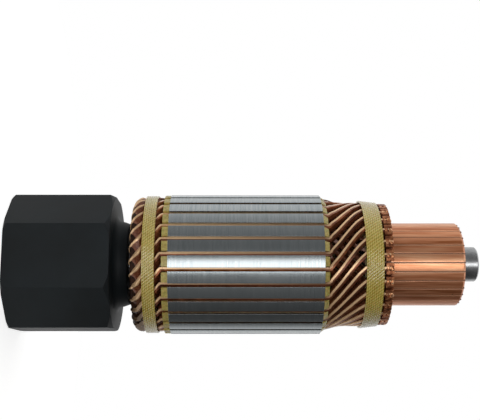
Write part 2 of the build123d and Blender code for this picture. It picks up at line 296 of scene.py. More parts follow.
def smooth_edges(piece, degrees=30):
    """Smooth shading, with edges sharper than an angle kept sharp."""
    make_active(piece)
    bpy.ops.object.shade_smooth_by_angle(angle=math.radians(degrees))


def refined_copy(node, name, edge, segments=2, bevel_angle=30):
    """Copy of a CAD node with its loose triangles joined into faces and its edges rounded."""
    piece = bpy.data.objects.new(name, nodes[node].data.copy())
    bpy.context.scene.collection.objects.link(piece)
    make_active(piece)
    edit_all()
    bpy.ops.mesh.remove_doubles(threshold=MERGE)
    bpy.ops.mesh.dissolve_limited(angle_limit=FLAT_ANGLE)
    bpy.ops.object.mode_set(mode="OBJECT")
    round_edges(piece, edge, segments, bevel_angle)
    smooth_edges(piece)
    apply_modifier(piece, "WEIGHTED_NORMAL", keep_sharp=True)
    return piece


def dress(piece, material):
    """Give an object one material."""
    piece.data.materials.clear()
    piece.data.materials.append(material)


def lead_outer_radius(height, winding):
    """Outer radius of the upper layer on its way from the core to the risers."""
    corners = (
        (node_top("slot_liners"), winding.upper_radius),
        (COMMUTATOR_DISC_TOP + winding.waist_distance, winding.upper_radius - winding.waist_drop),
        (node_bottom("commutator_end_band"), winding.upper_radius - winding.shoulder_drop),
        (RISER_BOTTOM, winding.end_radius),
    )
    for (low, low_radius), (high, high_radius) in zip(corners, corners[1:]):
        if height <= high:
            share = (height - low) / (high - low)
            return low_radius + share * (high_radius - low_radius)
    return winding.end_radius


def lead_stations(slot_angle, twist, drop, winding):
    """Stations of one lead, from the disc to its end in the riser."""
    stations = []
    for length_share, twist_share, *rolls in LEAD_SHAPE:
        height = COMMUTATOR_DISC_TOP + length_share * (RISER_BOTTOM - COMMUTATOR_DISC_TOP)
        radius = lead_outer_radius(height, winding) - drop - winding.strip_height / 2
        angle = slot_angle + twist_share * twist
        stations.append((radius, angle, height, 0, rolls[1] if drop else rolls[0]))
    end = winding.end_radius - drop - winding.strip_height / 2
    stations.append((end, slot_angle + twist, RISER_BOTTOM, 0, 0))
    stations.append((end, slot_angle + twist, RISER_TOP, 0, 0))
    return stations


def nose_stations(shape, slot_angle, twist, radius, knuckle_height, lean, winding):
    """Stations of one leg between the drive end disc and the nose."""
    stations = []
    for length_share, twist_share, roll in shape:
        height = DRIVE_DISC_BOTTOM + length_share * (knuckle_height - DRIVE_DISC_BOTTOM)
        stations.append((radius, slot_angle + twist_share * twist, height, lean, roll))
    shoulder = slot_angle + NOSE_SHOULDER_TWIST * twist
    roll = KNUCKLE_BENDS[-1][1] if lean else KNUCKLE_BENDS[0][1]
    stations.append((radius, shoulder, node_bottom("drive_end_band"), lean, roll))
    return stations


def coil_stations(winding):
    """Stations of one coil as (radius, angle, height, lean, roll), from end to end over the nose."""
    upper = winding.upper_radius - winding.strip_height / 2
    drop = winding.strip_height + winding.layer_gap
    lower = upper - drop
    lower_angle = winding.coil_span * PITCH
    lower_lead_span = winding.commutator_pitch - winding.coil_span - winding.upper_lead_span
    knuckle_centre = (upper + lower) / 2
    knuckle_radius = drop / 2 + winding.nose_bulge_depth
    knuckle_height = NOSE_TIP + knuckle_radius + winding.strip_height / 2
    knuckle_start = (winding.nose_span - winding.knuckle_span / 2) * PITCH
    knuckle_turn = winding.knuckle_span * PITCH
    lower_twist = knuckle_start + knuckle_turn - lower_angle

    upper_lead = lead_stations(0, -winding.upper_lead_span * PITCH, 0, winding)
    upper_nose = nose_stations(UPPER_NOSE_SHAPE, 0, knuckle_start, upper, knuckle_height, 0, winding)
    lower_nose = nose_stations(
        LOWER_NOSE_SHAPE, lower_angle, lower_twist, lower, knuckle_height, 180, winding
    )
    knuckle = []
    for lean, roll in KNUCKLE_BENDS:
        radius = knuckle_centre + knuckle_radius * math.cos(math.radians(lean))
        height = knuckle_height - knuckle_radius * math.sin(math.radians(lean))
        knuckle.append((radius, knuckle_start + knuckle_turn * lean / 180, height, lean, roll))
    lower_lead = lead_stations(lower_angle, lower_lead_span * PITCH, drop, winding)
    return (
        upper_lead[::-1]
        + [(upper, 0, CORE_TOP, 0, 0), (upper, 0, DRIVE_DISC_BOTTOM, 0, 0)]
        + upper_nose
        + knuckle
        + lower_nose[::-1]
        + [(lower, lower_angle, DRIVE_DISC_BOTTOM, 180, 0), (lower, lower_angle, CORE_TOP, 180, 0)]
        + [(radius, angle, height, 180, roll) for radius, angle, height, _, roll in lower_lead]
    )


def station_step(first, second):
    """Distance between two stations along the strip."""
    around = (first[0] + second[0]) / 2 * math.radians(second[1] - first[1])
    return math.hypot(around, second[2] - first[2], second[0] - first[0])


def eased_slopes(places, values):
    """Slopes for a smooth curve through the values that never overshoots them."""
    steps = [b - a for a, b in zip(places, places[1:])]
    secants = [(b - a) / step for a, b, step in zip(values, values[1:], steps)]
    slopes = [secants[0]]
    for before, after in zip(secants, secants[1:]):
        slopes.append(2 * before * after / (before + after) if before * after > 0 else 0.0)
    slopes.append(secants[-1])
    return slopes


def smooth_stations(stations, step):
    """Stations along the strip's smooth line, about a step apart where it isn't straight."""
    places = [0.0]
    for first, second in zip(stations, stations[1:]):
        places.append(places[-1] + station_step(first, second))
    slopes = [eased_slopes(places, [station[axis] for station in stations]) for axis in range(5)]
    smooth = [stations[0]]
    for index in range(len(stations) - 1):
        first, second = stations[index], stations[index + 1]
        span = places[index + 1] - places[index]
        straight = first[0] == second[0] and first[1] == second[1]
        count = 1 if straight else max(1, math.ceil(span / step))
        for part in range(1, count + 1):
            t = part / count
            blend = (2 * t**3 - 3 * t**2 + 1, t**3 - 2 * t**2 + t, 3 * t**2 - 2 * t**3, t**3 - t**2)
            smooth.append(
                tuple(
                    blend[0] * first[axis]
                    + blend[1] * span * slopes[axis][index]
                    + blend[2] * second[axis]
                    + blend[3] * span * slopes[axis][index + 1]
                    for axis in range(5)
                )
            )
    return smooth


def station_frame(stations, index):
    """Centre and turn of the strip's section at a station: X is its tall side, Z its path."""
    radius, angle, height, lean, roll = stations[index]
    before = stations[max(index - 1, 0)]
    after = stations[min(index + 1, len(stations) - 1)]
    across = (before[0] + after[0]) / 2 * math.radians(after[1] - before[1])
    tilt = math.atan2(across, math.hypot(after[0] - before[0], after[2] - before[2]))
    radial = Vector((math.cos(math.radians(angle)), math.sin(math.radians(angle)), 0))
    around = Vector((-radial.y, radial.x, 0))
    up = Vector((0, 0, 1))
    tall = radial * math.cos(math.radians(lean)) - up * math.sin(math.radians(lean))
    ahead = up * -math.cos(math.radians(lean)) - radial * math.sin(math.radians(lean))
    path = ahead * math.cos(tilt) + around * math.sin(tilt)
    rolled = Matrix.Rotation(math.radians(roll), 3, path) @ tall
    turn = Matrix((rolled, path.cross(rolled), path)).transposed()
    return radial * radius + up * height, turn


def turn_selection(turn, centre):
    """Turn what is selected in edit mode about a point, one world axis at a time."""
    for axis, angle in zip("XYZ", turn.to_euler("XYZ")):
        bpy.ops.transform.rotate(
            value=-angle, orient_axis=axis, orient_type="GLOBAL", center_override=centre
        )


def model_coil(winding, frames, name):
    """One hairpin, extruded section by section from the end of its upper leg."""
    centre, turn = frames[0]
    deselect_all()
    bpy.ops.mesh.primitive_plane_add(size=1, location=(0, 0, 0))
    coil = bpy.context.active_object
    coil.name = name
    edit_all()
    bpy.ops.transform.resize(value=(winding.strip_height, winding.strip_width, 1), center_override=(0, 0, 0))
    turn_selection(turn, (0, 0, 0))
    bpy.ops.transform.translate(value=centre)
    for next_centre, next_turn in frames[1:]:
        bpy.ops.mesh.extrude_region_move(
            TRANSFORM_OT_translate={"value": next_centre - centre, "orient_type": "GLOBAL"}
        )
        turn_selection(next_turn @ turn.transposed(), next_centre)
        centre, turn = next_centre, next_turn
    bpy.ops.mesh.select_all(action="SELECT")
    bpy.ops.mesh.normals_make_consistent(inside=False)
    bpy.ops.object.mode_set(mode="OBJECT")
    return coil


def map_section(coil, frames, name, winding):
    """UV map of a point's place in the strip's section: U across its thin side, V up its tall side."""
    places = []
    for vertex in coil.data.vertices:
        centre, turn = min(frames, key=lambda section: (vertex.co - section[0]).length_squared)
        place = turn.transposed() @ (vertex.co - centre)
        places.append((0.5 + place.y / winding.strip_width, 0.5 + place.x / winding.strip_height))
    layer = coil.data.uv_layers.new(name=name)
    for corner in coil.data.loops:
        layer.data[corner.index].uv = places[corner.vertex_index]


def copy_about_axis(piece, name, degrees):
    """Copy of a piece with its own mesh, turned about the shaft's centre line."""
    copy = bpy.data.objects.new(name, piece.data.copy())
    bpy.context.scene.collection.objects.link(copy)
    copy.data.transform(Matrix.Rotation(math.radians(degrees), 4, "Z"))
    return copy


def band_corners(node):
    """Corners of a band's section as (radius, height): low inner and outer, then high outer and inner."""
    rims = []
    for height in (node_bottom(node), node_top(node)):
        rim = [vertex.co for vertex in nodes[node].data.vertices if abs(vertex.co.z - height) < 0.1 * MM]
        radii = [from_axis(place) for place in rim]
        rims.append(((min(radii), height), (max(radii), height)))
    return (*rims[0], *reversed(rims[1]))


def ring_section(name, corners, edge):
    """Outline of a ring: a four-cornered section, given as (radius, height), with its edges rounded."""
    deselect_all()
    bpy.ops.mesh.primitive_plane_add(size=1, location=(0, 0, 0))
    ring = bpy.context.active_object
    ring.name = name
    for vertex, (radius, height) in zip((0, 1, 3, 2), corners):
        ring.data.vertices[vertex].co = (radius, 0, height)
    edit_all()
    bpy.ops.mesh.bevel(offset=edge, segments=3, affect="VERTICES")
    bpy.ops.mesh.select_all(action="SELECT")
    bpy.ops.mesh.delete(type="ONLY_FACE")
    bpy.ops.object.mode_set(mode="OBJECT")
    return ring


def spin_section(ring, steps):
    """Spin a section's outline about the shaft's centre line into a closed ring."""
    make_active(ring)
    edit_all()
    bpy.ops.mesh.spin(steps=steps, angle=math.tau, center=(0, 0, 0), axis=(0, 0, 1))
    bpy.ops.mesh.select_all(action="SELECT")
    bpy.ops.mesh.remove_doubles(threshold=MERGE)
    bpy.ops.mesh.normals_make_consistent(inside=False)
    bpy.ops.object.mode_set(mode="OBJECT")


def raise_threads(ring, corners, threads, height, edge):
    """Shape the outside of a ring's section into threads: its edge is cut up and each second point sinks."""
    make_active(ring)
    bpy.ops.object.mode_set(mode="EDIT")
    bpy.ops.mesh.select_all(action="DESELECT")
    bpy.ops.object.mode_set(mode="OBJECT")
    low, high = corners[1], corners[2]
    rise = high[1] - low[1]

    def outside(radius, level):
        line = low[0] + (level - low[1]) / rise * (high[0] - low[0])
        return abs(radius - line) < MERGE and low[1] + 0.5 * edge < level < high[1] - 0.5 * edge

    vertices = ring.data.vertices
    for side in ring.data.edges:
        side.select = all(outside(vertices[index].co.x, vertices[index].co.z) for index in side.vertices)
    bpy.ops.object.mode_set(mode="EDIT")
    bpy.ops.mesh.subdivide(number_cuts=2 * threads - 1)
    bpy.ops.mesh.select_all(action="DESELECT")
    bpy.ops.object.mode_set(mode="OBJECT")
    on_edge = sorted(
        (vertex for vertex in ring.data.vertices if outside(vertex.co.x, vertex.co.z)),
        key=lambda vertex: vertex.co.z,
    )
    for vertex in on_edge[::2]:
        vertex.select = True
    bpy.ops.object.mode_set(mode="EDIT")
    bpy.ops.transform.translate(value=(-height, 0, 0))
    bpy.ops.object.mode_set(mode="OBJECT")


def wrap_tape_map(ring, name, bottom, spacing):
    """UV map that counts threads: U runs around the ring and V runs up it."""
    layer = ring.data.uv_layers.new(name=name)
    vertices = ring.data.vertices
    radius = max(from_axis(vertex.co) for vertex in vertices)
    for face in ring.data.polygons:
        middle = math.atan2(face.center.y, face.center.x)
        for corner in face.loop_indices:
            place = vertices[ring.data.loops[corner].vertex_index].co
            turn = math.atan2(place.y, place.x)
            turn += math.tau * round((middle - turn) / math.tau)
            layer.data[corner].uv = (turn * radius / spacing, (place.z - bottom) / spacing)


def model_weld(name, reach, across, along, seed):
    """One lump of fused copper, longest around the commutator: a ball, flattened and then knocked about."""
    lumpiness = 0.14 * reach
    deselect_all()
    bpy.ops.mesh.primitive_ico_sphere_add(subdivisions=3, radius=1, location=(0, 0, 0))
    weld = bpy.context.active_object
    weld.name = name
    edit_all()
    bpy.ops.transform.resize(value=(reach, across, along), center_override=(0, 0, 0))
    bpy.ops.transform.vertex_random(offset=lumpiness, uniform=0.0, normal=1.0, seed=seed)
    bpy.ops.mesh.vertices_smooth(factor=0.4, repeat=1)
    bpy.ops.object.mode_set(mode="OBJECT")
    smooth_edges(weld, 80)
    return weld


def wave_scale(spacing):
    """Scale of a wave texture whose bands lie a given distance apart."""
    return math.tau / 20 / spacing


def drawn_copper_strip(settings, section_map, tone_map):
    """Copper strip, drawn, bent and dipped in varnish: a painted highlight along one corner, brown face,
    dark sides.
    """
    finish = Finish("drawn_copper_strip")
    place = finish.add("TexCoord")["Object"]
    sideways, _, height = finish.add("SeparateXYZ", place)
    section = finish.add("UVMap", uv_map=section_map)[0]
    thin_share, tall_share, _ = finish.add("SeparateXYZ", section)
    band_edge = node_bottom("drive_end_band")
    at_nose = finish.add("MapRange", height, band_edge + MM, band_edge - MM)[0]
    # The painted highlight covers the noses' whole outer side and a little way down their flanks
    across = finish.add("Math", at_nose, at_nose, thin_share, operation="MULTIPLY_ADD")[0]
    upward = finish.add("Math", at_nose, 0.05, tall_share, operation="MULTIPLY_ADD")[0]
    # Mask of the painted highlight: one half of each strip's outer side, next to its corner
    near_edge = finish.add("MapRange", across, 0.46, 0.58)[0]
    near_top = finish.add("MapRange", upward, 0.8, 0.9)[0]
    edge = finish.add("Math", near_edge, near_top, operation="MULTIPLY")[0]
    face = finish.add("MapRange", tall_share, 0.78, 0.97)[0]
    # Darker, duller copper in the slots and beside the discs: partly painted shade of these recesses, partly
    # thick varnish
    bare_and_unshaded_levels = (
        (NOSE_TIP, 0.9),
        (node_top("drive_end_band"), 0.9),
        (node_top("drive_end_band") + MM, 1.0),
        (CORE_TOP, 0.2),
        (COMMUTATOR_DISC_TOP + MM, 0.7),
        (COMMUTATOR_DISC_TOP + 5 * MM, 1.0),
    )
    up_coil = finish.add("MapRange", height, NOSE_TIP, RISER_TOP)[0]
    stops = tuple(
        ((level - NOSE_TIP) / (RISER_TOP - NOSE_TIP), (share, share, share, 1))
        for level, share in bare_and_unshaded_levels
    )
    bare = finish.add("ValToRGB", up_coil, stops=stops)[0]
    # Heat and handling leave the copper blotched over some 5 mm
    blotch = finish.add("TexNoise", place, Scale=1 / (5 * MM), Detail=3.0, Roughness=0.6)["Fac"]
    # Varnish gathers in specks and threads of about 1 mm
    speck = finish.add("TexNoise", place, Scale=1 / (1.1 * MM), Detail=4.0, Roughness=0.7)["Fac"]
    # Each strip came out of the heat with a tone of its own
    tone = finish.add("UVMap", uv_map=tone_map)[0]
    own_tone = finish.add("SeparateXYZ", tone)[0]
    heat = finish.add("Math", own_tone, 0.45, blotch, operation="MULTIPLY_ADD")[0]
    stops = ((0.4, "#4E2817"), (0.65, settings.copper_shade), (0.95, "#B46C40"))
    brown = finish.add("ValToRGB", heat, stops=stops)[0]
    side = finish.add("ValToRGB", speck, stops=((0.3, "#552A18"), (0.5, "#75412A"), (0.75, "#9A6040")))[0]
    coated = finish.add("Mix", face, side, brown, data_type="RGBA")[2]
    # Painted highlight: pale copper laid over that corner
    highlighted = finish.add("Mix", edge, coated, settings.copper, data_type="RGBA")[2]
    # Where it is not bare the copper fades to dark brown: painted shade and varnish together
    varnished = finish.add("Mix", bare, "#6A3C24", highlighted, data_type="RGBA")[2]
    # Painted shade: towards +X the noses darken to near black, on the side that the light barely reaches
    lower_side_shade = finish.add("MapRange", sideways, 14 * MM, 27 * MM, 0, 0.85)[0]
    nose_shade = finish.add("Math", lower_side_shade, at_nose, operation="MULTIPLY")[0]
    shade = finish.add("Mix", nose_shade, varnished, "#2C211C", data_type="RGBA")[2]
    # The varnish hides most of the metal's mirror, most of all on the sides and in the slots
    open_metal = finish.add("Math", face, bare, operation="MULTIPLY")[0]
    plain_metal = finish.add("MapRange", open_metal, 0, 1, 0.1, 0.55)[0]
    # The painted highlight is less metallic, so that its pale colour shows in any light
    metal = finish.add("Mix", edge, plain_metal, 0.25)[0]
    rough = finish.add("MapRange", speck, 0, 1, 0.16, 0.34)[0]
    bump = finish.add("Bump", Strength=0.25, Distance=0.1 * MM, Height=speck)[0]
    varnish = {"Specular_IOR_Level": 0.3, "Coat_Weight": 0.12, "Coat_Roughness": 0.2}
    surface = finish.add(
        "BsdfPrincipled", Base_Color=shade, Metallic=metal, Roughness=rough, Normal=bump, **varnish
    )
    finish.add("OutputMaterial", surface[0])
    return finish.material


def turned_copper(settings, first_slot):
    """Hard silver-bearing copper, turned on a lathe: bright, with fine rings that run around it."""
    finish = Finish("turned_copper")
    place = finish.add("TexCoord")["Object"]
    # A lathe leaves marks every 0.1 mm, drawn coarser here so that they show
    lathe = {"bands_direction": "Z", "Scale": wave_scale(settings.turning)}
    rings = finish.add("TexWave", place, Distortion=0.6, Detail=1.0, Detail_Scale=0.5, **lathe)["Fac"]
    # Each segment takes its own tone, with streaks that run along it
    sideways, depth, _ = finish.add("SeparateXYZ", place)
    bearing = finish.add("Math", depth, sideways, operation="ARCTAN2")[0]
    half_slot_on = 0.5 - math.degrees(first_slot) / PITCH
    slots_on = finish.add("Math", bearing, SLOT_COUNT / math.tau, half_slot_on, operation="MULTIPLY_ADD")[0]
    segment = finish.add("Math", slots_on, operation="FLOOR")[0]
    tone = finish.add("TexWhiteNoise", segment, noise_dimensions="1D")["Value"]
    stretched = finish.add("Mapping", place, Scale=(1, 1, 0.06))[0]
    grain = finish.add("TexNoise", stretched, Scale=1 / (1.6 * MM), Detail=3.0, Roughness=0.5)["Fac"]
    streak = finish.add("Math", tone, 0.35, grain, operation="MULTIPLY_ADD")[0]
    stain = finish.add("TexNoise", place, Scale=1 / (7 * MM), Detail=3.0, Roughness=0.55)["Fac"]
    stops = ((0.45, "#B2683C"), (0.68, settings.copper), (0.95, "#F2B88E"))
    shade = finish.add("ValToRGB", streak, stops=stops)[0]
    # Painted highlight: a pale line along both edges of each segment, beside the mica
    along_segment = finish.add("Math", slots_on, operation="FRACT")[0]
    from_middle = finish.add("Math", along_segment, 0.5, operation="SUBTRACT")[0]
    reach = finish.add("Math", from_middle, operation="ABSOLUTE")[0]
    corner = finish.add("MapRange", reach, 0.37, 0.4, 0, 0.6)[0]
    # The corner mask lays the painted highlight's pale colour on the segments
    cut = finish.add("Mix", corner, shade, "#FFCCA4", data_type="RGBA")[2]
    rough = finish.add("MapRange", stain, 0, 1, 0.24, 0.36)[0]
    bump = finish.add("Bump", Strength=0.08, Distance=0.02 * MM, Height=rings)[0]
    # A haze of oxide lies over the metal
    surface = finish.add("BsdfPrincipled", Metallic=0.7, Base_Color=cut, Roughness=rough, Normal=bump)
    finish.add("OutputMaterial", surface[0])
    return finish.material


def mottled_finish(name, grain, tones, roughness, sockets, relief=None, marks=None):
    """Material whose colour and gloss follow one noise, and its relief too, if it has no marks."""
    finish = Finish(name)
    place = finish.add("TexCoord")["Object"]
    mottle = finish.add("TexNoise", place, **grain)["Fac"]
    shade = finish.add("ValToRGB", mottle, stops=tones)[0]
    rough = finish.add("MapRange", mottle, 0, 1, *roughness)[0]
    if relief:
        height = finish.add(marks[0], place, **marks[1])["Fac"] if marks else mottle
        sockets["Normal"] = finish.add("Bump", Height=height, **relief)[0]
    surface = finish.add("BsdfPrincipled", Base_Color=shade, Roughness=rough, **sockets)
    finish.add("OutputMaterial", surface[0])
    return finish.material


def fused_copper(name, hex_codes, roughness):
    """Copper that was heated until it ran: lumpy and scaled red-brown, brightest where it's bare."""
    return mottled_finish(
        name,
        grain={"Scale": 1 / (2.2 * MM), "Detail": 4.0, "Roughness": 0.65},
        tones=tuple(zip((0.34, 0.5, 0.66), hex_codes)),
        roughness=(roughness - 0.1, roughness + 0.1),
        sockets={"Metallic": 0.7},
        relief={"Strength": 0.5, "Distance": 0.3 * MM},
    )


def dried_varnish(name, shine):
    """Varnish that the winding was dipped in, brown-black, with runs and thin spots."""
    return mottled_finish(
        name,
        grain={"Scale": 1 / (3 * MM), "Detail": 4.0, "Roughness": 0.6},
        tones=((0.35, "#1C0F0A"), (0.7, "#3C2419")),
        roughness=(0.35, 0.6),
        sockets={"Specular_IOR_Level": shine},
    )


def pressed_board(name, tones, grain, roughness, coat):
    """Pressed or moulded fibre: mottled at the size of its fibres, half matt, light shines into it."""
    depth = {"Subsurface_Weight": 0.2, "Subsurface_Scale": 0.5 * MM}
    return mottled_finish(
        name,
        grain={"Scale": 1 / grain, "Detail": 5.0, "Roughness": 0.65},
        tones=((0.35, tones[1]), (0.65, tones[0])),
        roughness=(roughness - 0.1, roughness + 0.1),
        sockets=depth | {"Coat_Weight": coat, "Coat_Roughness": 0.2},
        relief={"Strength": 0.3, "Distance": 0.1 * MM},
    )


def ground_steel():
    """Case-hardened steel, ground between centres: bright grey with very fine rings."""
    # Grinding marks lie every 0.05 mm, drawn coarser here so that they show
    rings = {"bands_direction": "Z", "Scale": wave_scale(0.35 * MM), "Distortion": 0.8, "Detail": 1.0}
    return mottled_finish(
        "ground_steel",
        grain={"Scale": 1 / (6 * MM), "Detail": 3.0, "Roughness": 0.55},
        tones=((0.3, "#8F9092"), (0.7, "#BFC0C0")),
        roughness=(0.2, 0.34),
        sockets={"Metallic": 1.0},
        relief={"Strength": 0.2, "Distance": 0.02 * MM},
        marks=("TexWave", rings),
    )


def moulded_polyethylene(settings):
    """Black polyethylene out of a steel mould: deep grey-black, satin, faintly grained."""
    return mottled_finish(
        "moulded_polyethylene",
        grain={"Scale": 1 / (28 * MM), "Detail": 3.0, "Roughness": 0.5},
        tones=((0.3, "#14181A"), (0.7, settings.plastic)),
        roughness=(0.5, 0.62),
        sockets={"IOR": 1.51, "Specular_IOR_Level": 0.2},
        relief={"Strength": 0.15, "Distance": 0.06 * MM},
        marks=("TexNoise", {"Scale": 1 / (0.7 * MM), "Detail": 4.0, "Roughness": 0.6}),
    )


def stacked_steel(settings):
    """Silicon steel sheets, stacked and turned: satin blue-grey with a line at every sheet."""
    finish = Finish("stacked_steel")
    place = finish.add("TexCoord")["Object"]
    # Sheets are 0.5 mm thick, drawn coarser here so that their edges show
    stack = {"bands_direction": "Z", "Scale": wave_scale(settings.sheet)}
    sheets = finish.add("TexWave", place, Distortion=0.15, **stack)["Fac"]
    stretched = finish.add("Mapping", place, Scale=(1, 1, 30))[0]
    streak = finish.add("TexNoise", stretched, Scale=1 / (18 * MM), Detail=4.0, Roughness=0.6)["Fac"]
    stain = finish.add("TexNoise", place, Scale=1 / (20 * MM), Detail=3.0, Roughness=0.5)["Fac"]
    stops = ((0.3, "#98A0A2"), (0.55, settings.steel), (0.8, "#B6BABA"))
    shade = finish.add("ValToRGB", streak, stops=stops)[0]
    rough = finish.add("MapRange", stain, 0, 1, 0.17, 0.26)[0]
    bump = finish.add("Bump", Strength=0.05, Distance=0.02 * MM, Height=sheets)[0]
    surface = finish.add("BsdfPrincipled", Metallic=1.0, Base_Color=shade, Roughness=rough, Normal=bump)
    finish.add("OutputMaterial", surface[0])
    return finish.material


def glass_tape(settings, thread_map):
    """Woven glass tape soaked in resin: pale threads over olive resin, glossy where it's smooth."""
    finish = Finish("resin_glass_tape")
    around = finish.add("UVMap", uv_map=thread_map)[0]
    place = finish.add("TexCoord")["Object"]
    # Threads lie 0.6 mm apart, drawn coarser here so that the weave shows
    shifted = finish.add("TexNoise", around, Scale=0.3, Detail=2.0)["Color"]
    drift = finish.add("VectorMath", shifted, 0.5, operation="SCALE")[0]
    woven = finish.add("VectorMath", around, drift, operation="ADD")[0]
    threads_round, threads_up, _ = finish.add("SeparateXYZ", woven)
    along = finish.add("Math", threads_round, 1.3 * math.pi, operation="MULTIPLY")[0]
    slant = finish.add("Math", threads_up, math.pi, along, operation="MULTIPLY_ADD")[0]
    twill = finish.add("Math", slant, operation="SINE")[0]
    across = finish.add("Math", threads_up, math.tau, operation="MULTIPLY")[0]
    ridges = finish.add("Math", across, operation="COSINE")[0]
    crossed = finish.add("Math", twill, ridges, operation="SUBTRACT")[0]
    # The resin covers some threads and leaves others proud
    cover = finish.add("TexNoise", place, Scale=1 / (1.8 * MM), Detail=2.0, Roughness=0.6)["Fac"]
    uneven = finish.add("Math", cover, 3.0, crossed, operation="MULTIPLY_ADD")[0]
    weave = finish.add("MapRange", uneven, -0.5, 3.6)[0]
    patch = finish.add("TexNoise", place, Scale=1 / (9 * MM), Detail=3.0, Roughness=0.55)["Fac"]
    threads = finish.add("ValToRGB", weave, stops=((0.15, settings.resin), (0.85, settings.glass)))[0]
    flooded = finish.add("ValToRGB", patch, stops=((0.35, "#BC9E24"), (0.65, "#DAC24C")))[0]
    shade = finish.add("Mix", 0.65, flooded, threads, data_type="RGBA")[2]
    rough = finish.add("MapRange", patch, 0, 1, 0.18, 0.28)[0]
    bump = finish.add("Bump", Strength=1.0, Distance=0.2 * MM, Height=weave)[0]
    depth = {"Subsurface_Weight": 0.1, "Subsurface_Scale": 0.4 * MM}
    gloss = {"Specular_IOR_Level": 0.8, "Coat_Weight": 0.6, "Coat_Roughness": 0.15, "Coat_Normal": bump}
    surface = finish.add("BsdfPrincipled", Base_Color=shade, Roughness=rough, Normal=bump, **depth, **gloss)
    finish.add("OutputMaterial", surface[0])
    return finish.material


def studio_floor(settings):
    """Matt painted floor: shows as white to the camera and in gloss, and keeps a soft shadow."""
    finish = Finish("studio_floor")
    seen = finish.add("LightPath")
    views = seen["Is Camera Ray"], seen["Is Transmission Ray"]
    open_view = finish.add("Math", *views, operation="MAXIMUM")[0]
    in_view = finish.add("Math", open_view, seen["Is Glossy Ray"], operation="MAXIMUM")[0]
    shown = finish.add("Math", in_view, 0.75, operation="MULTIPLY")[0]
    place = finish.add("TexCoord")["Object"]
    paint = finish.add("TexNoise", place, Scale=1 / (25 * MM), Detail=4.0)["Fac"]
    shade = finish.add("ValToRGB", paint, stops=((0.0, "#E2E2E0"), (1.0, settings.floor)))[0]
    matt = finish.add("BsdfDiffuse", shade)[0]
    glow = finish.add("Emission", "#FFFFFF", shown)[0]
    surface = finish.add("AddShader", matt, glow)[0]
    finish.add("OutputMaterial", surface)
    return finish.material


def studio_surroundings():
    """Studio that the armature stands in: pale and dark by bearing, and white to the camera."""
    studio = Finish("studio", "worlds")
    direction = studio.add("TexCoord")["Generated"]
    sideways, depth, height = studio.add("SeparateXYZ", direction)
    front = studio.add("Math", depth, -1.0, operation="MULTIPLY")[0]
    bearing = studio.add("Math", sideways, front, operation="ARCTAN2")[0]
    share = studio.add("MapRange", bearing, -math.pi, math.pi)[0]
    stops = tuple(((turn + 180) / 360, (level, level, level, 1)) for turn, level in STUDIO_LEVELS)
    shade = studio.add("ValToRGB", share, stops=stops)[0]
    # Metal mirrors the pale floor beyond its disc too, as the lower part of the surroundings
    seen = studio.add("LightPath")
    glossy = seen["Is Glossy Ray"]
    low = studio.add("MapRange", height, -0.45, -0.75, 0, 0.9)[0]
    below = studio.add("Math", glossy, low, operation="MULTIPLY")[0]
    # Little light comes from the photo's lower side, apart from what metal mirrors
    sheltered = studio.add("MapRange", sideways, -0.2, 0.6, 0, 0.88)[0]
    soft = studio.add("Math", 1.0, glossy, operation="SUBTRACT")[0]
    dimmed = studio.add("Math", soft, sheltered, operation="MULTIPLY")[0]
    lit = studio.add("Mix", dimmed, shade, (0, 0, 0, 1), data_type="RGBA")[2]
    around = studio.add("Mix", below, lit, (0.7, 0.7, 0.7, 1), data_type="RGBA")[2]
    # The white backdrop behind the armature, which the metal mirrors too
    turned_away = studio.add("Math", bearing, operation="ABSOLUTE")[0]
    behind = studio.add("Math", turned_away, math.radians(BACKDROP_BEARING), operation="GREATER_THAN")[0]
    mirrored = studio.add("Math", glossy, behind, operation="MULTIPLY")[0]
    views = seen["Is Camera Ray"], seen["Is Transmission Ray"]
    open_view = studio.add("Math", *views, operation="MAXIMUM")[0]
    backdrop = studio.add("Math", open_view, mirrored, operation="MAXIMUM")[0]
    shown = studio.add("Mix", backdrop, around, (1, 1, 1, 1), data_type="RGBA")[2]
    glow = studio.add("Background", shown, 1.0)[0]
    studio.add("OutputWorld", glow)
    return studio.material


class ARMATURE_OT_core(bpy.types.Operator):
    """Make the laminated core and its two fibre discs"""

    bl_idname = "armature.core"
    bl_label = "Core"

    def execute(self, context):
        core = context.scene.armature_core
        steel = stacked_steel(core)
        fibre = pressed_board(
            "pressed_fibre", (core.fibre, "#A89848"), 1.5 * MM, roughness=0.45, coat=0.25
        )
        stack = refined_copy("lamination_stack", "core_sheets", core.edge)
        dress(stack, steel)
        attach(stack, "root")
        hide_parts("lamination_stack")
        for node, name in (
            ("drive_end_disc", "drive_end_fibre"),
            ("commutator_end_disc", "commutator_end_fibre"),
        ):
            disc = refined_copy(node, name, core.edge)
            dress(disc, fibre)
            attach(disc, "root")
            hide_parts(node)
        return {"FINISHED"}


class ARMATURE_OT_insulation(bpy.types.Operator):
    """Give the hidden insulation, the hub and the bush their finishes"""

    bl_idname = "armature.insulation"
    bl_label = "Insulation"

    def execute(self, context):
        paper = pressed_board("pressed_paper", ("#C9B98A", "#9C8A5A"), 0.9 * MM, roughness=0.6, coat=0.1)
        mica = pressed_board("split_mica", ("#A26E54", "#70483A"), 0.8 * MM, roughness=0.5, coat=0.1)
        phenolic = pressed_board(
            "moulded_phenolic", ("#4A2C1C", "#2A1810"), 1.2 * MM, roughness=0.4, coat=0.2
        )
        for node in (
            "slot_liners",
            "layer_strips",
            "drive_end_layer_ring",
            "commutator_end_layer_ring",
            "drive_end_sleeve",
            "commutator_end_sleeve",
        ):
            dress(nodes[node], paper)
        dress(nodes["mica_strips"], mica)
        dress(nodes["commutator_moulding"], phenolic)
        dress(nodes["commutator_bush"], ground_steel())
        return {"FINISHED"}


